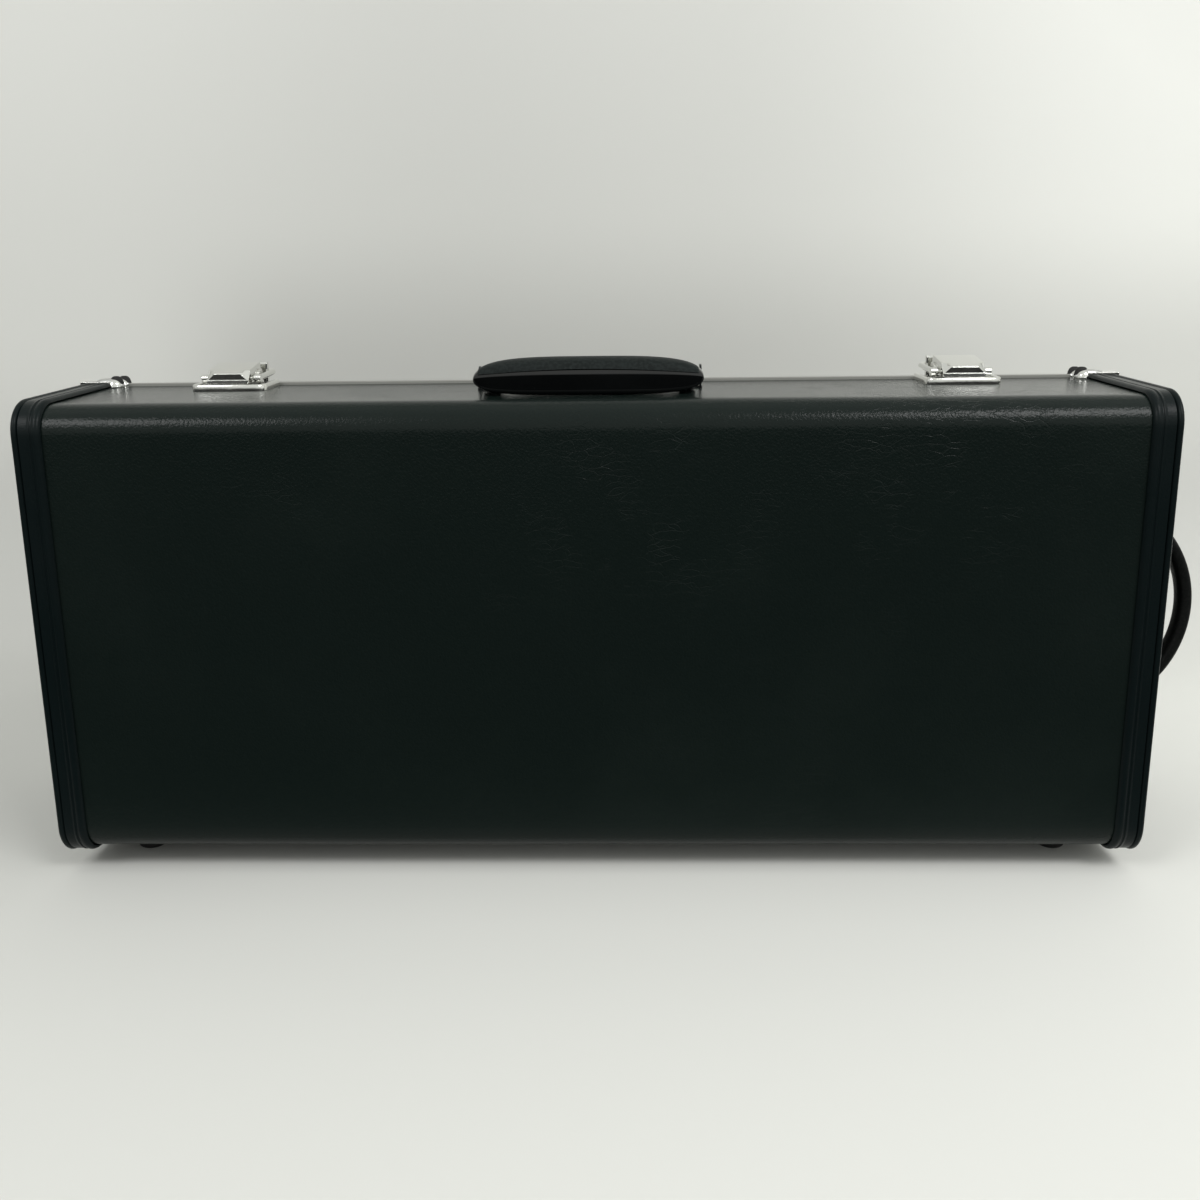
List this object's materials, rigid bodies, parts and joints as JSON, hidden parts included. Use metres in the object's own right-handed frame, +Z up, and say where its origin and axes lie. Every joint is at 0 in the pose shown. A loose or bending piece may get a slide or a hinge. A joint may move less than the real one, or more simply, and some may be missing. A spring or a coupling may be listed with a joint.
{
  "type": "alto saxophone case",
  "caption": "Hard rectangular instrument case in dark grained covering, with bound ends, a hinged lid, chrome draw latches, a folding carrying handle and a leather side handle.",
  "frame": {"origin": "on the surface that the feet stand on, under the seam at the middle of the case's length", "axes": "+X along the case towards the end with the side handle, +Y from the base half to the lid, +Z up from the hinge side to the handle side"},
  "size_m": [0.6794, 0.188, 0.3025],
  "materials": {
    "case_leatherette": "fine grained, low sheen",
    "binding_leather": "fine grained strip with smooth beads",
    "chrome_plate": "polished chrome on stamped steel",
    "plated_steel": "bright plated",
    "plush_lining": "short plush over blocks",
    "plush_padding": "short plush over foam",
    "handle_gloss": "glossy moulding",
    "handle_grain": "fine moulded grain",
    "handle_leather": "stitched, rubbed at the edges",
    "cap_leather": "smooth patch",
    "foot_rubber": "moulded"
  },
  "bodies": {
    "base": {"base_shell": "case_leatherette", "base_end_board_left": "case_leatherette", "base_end_board_right": "case_leatherette", "base_binding_left": "binding_leather", "base_binding_right": "binding_leather", "base_corner_clips": "chrome_plate", "latch_base_left": "chrome_plate", "latch_base_right": "chrome_plate", "latch_base_rivets": "chrome_plate", "hinge_base_leaves": "plated_steel", "hinge_pins": "plated_steel", "latch_pin_left": "plated_steel", "latch_pin_right": "plated_steel", "handle_brackets": "plated_steel", "handle_pins": "plated_steel", "handle_screws": "plated_steel", "side_handle_screws": "plated_steel", "bow_end_block": "plush_lining", "hinge_side_bolster": "plush_lining", "bell_side_bolster": "plush_lining", "bell_rim_block": "plush_lining", "centre_divider": "plush_lining", "body_end_block": "plush_lining", "compartment_walls": "plush_lining", "base_valance": "plush_lining", "accessory_flap_tape": "plush_lining", "base_floor_pad": "plush_padding", "side_handle": "handle_leather", "side_handle_caps": "cap_leather", "base_feet": "foot_rubber"},
    "lid": {"lid_shell": "case_leatherette", "lid_end_board_left": "case_leatherette", "lid_end_board_right": "case_leatherette", "lid_welt": "case_leatherette", "lid_binding_left": "binding_leather", "lid_binding_right": "binding_leather", "lid_corner_clips": "chrome_plate", "lid_feet": "foot_rubber", "hinge_lid_leaves": "plated_steel", "lid_pad": "plush_padding", "lid_bolsters": "plush_padding", "latch_catch_left": "chrome_plate", "latch_catch_right": "chrome_plate", "latch_catch_rivets": "chrome_plate"},
    "lever_left": {"latch_lever_left": "chrome_plate"},
    "bail_left": {"latch_bail_left": "chrome_plate"},
    "lever_right": {"latch_lever_right": "chrome_plate"},
    "bail_right": {"latch_bail_right": "chrome_plate"},
    "handle": {"handle_body": "handle_gloss", "handle_pad": "handle_grain"},
    "flap": {"accessory_flap": "plush_lining", "accessory_flap_tab": "plush_lining"}
  },
  "joints": [
    {"name": "lid_hinge", "type": "hinge", "parent": "base", "child": "lid", "pos_m": [0, 0, 0.00389], "axis": [-1, 0, 0], "range_deg": [0, 100]},
    {"name": "latch_lever_left_turn", "type": "hinge", "parent": "base", "child": "lever_left", "pos_m": [-0.221, -0.00958, 0.29268], "axis": [-1, 0, 0], "range_deg": [0, 100]},
    {"name": "latch_bail_left_swing", "type": "hinge", "parent": "lever_left", "child": "bail_left", "pos_m": [-0.221, -0.02248, 0.29105], "axis": [-1, 0, 0], "range_deg": [-130, 0]},
    {"name": "latch_lever_right_turn", "type": "hinge", "parent": "base", "child": "lever_right", "pos_m": [0.221, -0.00958, 0.29268], "axis": [-1, 0, 0], "range_deg": [0, 100]},
    {"name": "latch_bail_right_swing", "type": "hinge", "parent": "lever_right", "child": "bail_right", "pos_m": [0.221, -0.02248, 0.29105], "axis": [-1, 0, 0], "range_deg": [-130, 0]},
    {"name": "handle_fold", "type": "hinge", "parent": "base", "child": "handle", "pos_m": [-0.002, -0.02764, 0.2926], "axis": [-1, 0, 0], "range_deg": [0, 95]},
    {"name": "accessory_flap_lift", "type": "hinge", "parent": "base", "child": "flap", "pos_m": [0.242, -0.0097, 0.2162], "axis": [-1, 0, 0], "range_deg": [0, 90]}
  ],
  "couplings": [
    {"joint": "latch_bail_left_swing", "follows": "latch_lever_left_turn", "ratio": -1.3},
    {"joint": "latch_bail_right_swing", "follows": "latch_lever_right_turn", "ratio": -1.3}
  ]
}
